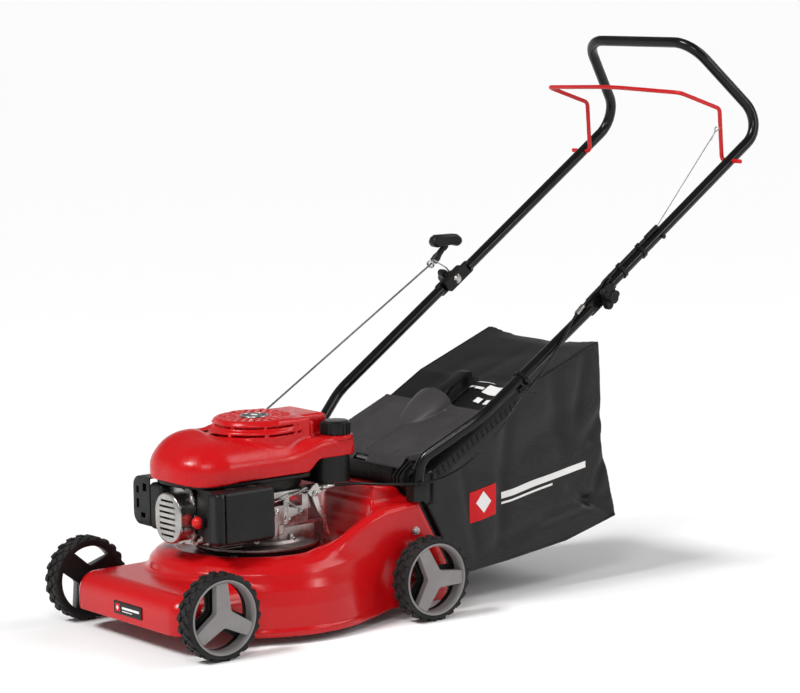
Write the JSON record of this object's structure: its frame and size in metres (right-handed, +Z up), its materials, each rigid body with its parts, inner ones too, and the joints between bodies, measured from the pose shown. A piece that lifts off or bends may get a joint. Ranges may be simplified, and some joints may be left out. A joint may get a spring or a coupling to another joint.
{
  "type": "push lawn mower",
  "caption": "Petrol push lawn mower: red deck on small wheels, engine under a moulded shroud, black folding tube handle with a red bail, and a rear grass bag.",
  "frame": {"origin": "on the ground, below the middle of the whole machine", "axes": "+Z up, front of the mower towards -Y, handlebar towards +Y, the operator's left hand on +X"},
  "size_m": [0.5, 1.3402, 1.0031],
  "materials": {
    "red_deck": "gloss red enamel",
    "red_plastic": "gloss red moulding",
    "red_rod": "gloss red enamel",
    "black_tube": "gloss black powder coat",
    "black_plastic": "fine grained black moulding",
    "grey_plastic": "fine grained dark grey moulding",
    "tyre": "moulded tread",
    "wheel_black": "semi-gloss moulding",
    "bare_aluminium": "as cast",
    "zinc": "zinc plated",
    "steel": "plain steel",
    "black_steel": "satin black",
    "bag_cloth": "coated woven cloth",
    "rubber": "moulded",
    "primer_red": "moulded",
    "cable_black": "extruded jacket",
    "rope": "braided cord",
    "wheel_grey": "silver-grey moulding",
    "print_white": "white print",
    "print_red": "red print",
    "filter_foam": "foam"
  },
  "bodies": {
    "chassis": {"deck_shell": "red_deck", "rear_frame": "black_plastic", "hinge_rod": "steel", "flap_spring": "steel", "axle_bolts": "zinc", "deck_bolts": "zinc", "handle_brackets": "black_plastic", "lower_tube_left": "black_tube", "lower_tube_right": "black_tube", "pivot_bolts": "zinc", "engine_base": "black_steel", "crankcase": "bare_aluminium", "cylinder_head": "bare_aluminium", "spark_plug": "rubber", "muffler_body": "zinc", "muffler_guard": "zinc", "exhaust_shield": "black_steel", "carburettor": "bare_aluminium", "filter_backplate": "black_plastic", "filter_element": "filter_foam", "fuel_tank": "black_plastic", "shroud": "red_plastic", "starter_cap": "black_plastic", "control_bracket": "zinc", "cable_lower": "cable_black", "rope_guide": "zinc", "starter_rope": "rope"},
    "wheel_front_left": {"tyre_front_left": "tyre", "rim_front_left": "wheel_black"},
    "wheel_front_right": {"tyre_front_right": "tyre", "rim_front_right": "wheel_black"},
    "wheel_rear_left": {"tyre_rear_left": "tyre", "rim_rear_left": "wheel_black"},
    "wheel_rear_right": {"tyre_rear_right": "tyre", "rim_rear_right": "wheel_black"},
    "rotor": {"crankshaft": "steel", "flywheel": "bare_aluminium", "blade_adapter": "steel", "blade": "black_steel", "blade_bolt": "zinc"},
    "handle_top": {"upper_handle": "black_tube", "cable_upper": "cable_black", "cable_stop": "black_plastic", "cable_clips": "black_plastic"},
    "bail_lever": {"bail": "red_rod", "inner_wire": "steel"},
    "clamp_left": {"knob_left": "black_plastic"},
    "clamp_right": {"knob_right": "black_plastic"},
    "discharge_flap": {"rear_flap": "grey_plastic"},
    "grass_bag": {"bag_fabric": "bag_cloth", "bag_frame": "black_plastic"},
    "filler_cap": {"fuel_cap": "black_plastic"},
    "dipstick_cap": {"oil_cap": "black_plastic"},
    "primer": {"primer_bulb": "primer_red"},
    "governor": {"governor_lever": "zinc"},
    "filter_lid": {"filter_cover": "black_plastic"},
    "brake": {"brake_lever": "zinc"},
    "pulley": {"recoil_pulley": "black_plastic"},
    "pull_grip": {"starter_grip": "black_plastic", "rope_core": "rope"}
  },
  "joints": [
    {"name": "wheel_front_left_spin", "type": "hinge", "parent": "chassis", "child": "wheel_front_left", "pos_m": [0.2, -0.59485, 0.075], "axis": [1, 0, 0], "continuous": true},
    {"name": "wheel_front_right_spin", "type": "hinge", "parent": "chassis", "child": "wheel_front_right", "pos_m": [-0.2, -0.59485, 0.075], "axis": [1, 0, 0], "continuous": true},
    {"name": "wheel_rear_left_spin", "type": "hinge", "parent": "chassis", "child": "wheel_rear_left", "pos_m": [0.2, -0.14115, 0.075], "axis": [1, 0, 0], "continuous": true},
    {"name": "wheel_rear_right_spin", "type": "hinge", "parent": "chassis", "child": "wheel_rear_right", "pos_m": [-0.2, -0.14115, 0.075], "axis": [1, 0, 0], "continuous": true},
    {"name": "crank_spin", "type": "hinge", "parent": "chassis", "child": "rotor", "pos_m": [0, -0.368, 0.15], "axis": [0, 0, 1], "continuous": true},
    {"name": "handle_fold", "type": "hinge", "parent": "chassis", "child": "handle_top", "pos_m": [0, 0.261, 0.5423], "axis": [1, 0, 0], "range_deg": [0, 120]},
    {"name": "bail_squeeze", "type": "hinge", "parent": "handle_top", "child": "bail_lever", "pos_m": [0, 0.592, 0.7715], "axis": [-1, 0, 0], "range_deg": [0, 30], "stiffness_Nm_per_rad": 0.5, "springref_deg": -17.19},
    {"name": "knob_left_turn", "type": "hinge", "parent": "chassis", "child": "clamp_left", "pos_m": [0.235, 0.261, 0.5423], "axis": [1, 0, 0], "continuous": true},
    {"name": "knob_right_turn", "type": "hinge", "parent": "chassis", "child": "clamp_right", "pos_m": [-0.235, 0.261, 0.5423], "axis": [-1, 0, 0], "continuous": true},
    {"name": "flap_lift", "type": "hinge", "parent": "chassis", "child": "discharge_flap", "pos_m": [0, -0.127, 0.262], "axis": [1, 0, 0], "range_deg": [0, 48], "stiffness_Nm_per_rad": 0.25, "springref_deg": -22.92},
    {"name": "bag_lift_off", "type": "slide", "parent": "chassis", "child": "grass_bag", "axis": [0, 0.9084, 0.4181], "range_m": [0, 0.3]},
    {"name": "fuel_cap_turn", "type": "hinge", "parent": "chassis", "child": "filler_cap", "pos_m": [0.072, -0.244, 0.34], "axis": [0, 0, 1], "range_deg": [0, 90]},
    {"name": "oil_cap_turn", "type": "hinge", "parent": "chassis", "child": "dipstick_cap", "pos_m": [-0.082, -0.306, 0.205], "axis": [0, 0, 1], "range_deg": [0, 180]},
    {"name": "primer_press", "type": "slide", "parent": "chassis", "child": "primer", "axis": [0, 1, 0], "range_m": [0, 0.005], "stiffness_N_per_m": 300},
    {"name": "governor_turn", "type": "hinge", "parent": "chassis", "child": "governor", "pos_m": [0.088, -0.369, 0.19], "axis": [-1, 0, 0], "range_deg": [0, 10], "stiffness_Nm_per_rad": 0.05, "springref_deg": -5.73},
    {"name": "filter_lid_open", "type": "hinge", "parent": "chassis", "child": "filter_lid", "pos_m": [0.106, -0.478, 0.1705], "axis": [0, 1, 0], "range_deg": [0, 40]},
    {"name": "brake_turn", "type": "hinge", "parent": "chassis", "child": "brake", "pos_m": [0.092, -0.308, 0.232], "axis": [-1, 0, 0], "range_deg": [0, 12]},
    {"name": "starter_pull", "type": "slide", "parent": "chassis", "child": "pull_grip", "axis": [-0.2864, 0.8868, 0.3627], "range_m": [0, 0.5], "stiffness_N_per_m": 6, "springref_m": -0.6},
    {"name": "pulley_spin", "type": "hinge", "parent": "chassis", "child": "pulley", "pos_m": [0, -0.368, 0.317], "axis": [0, 0, 1], "range_deg": [0, 860]}
  ],
  "couplings": [
    {"joint": "brake_turn", "follows": "bail_squeeze", "ratio": 0.4},
    {"joint": "pulley_spin", "follows": "starter_pull", "rad_per_m": 29.851}
  ]
}
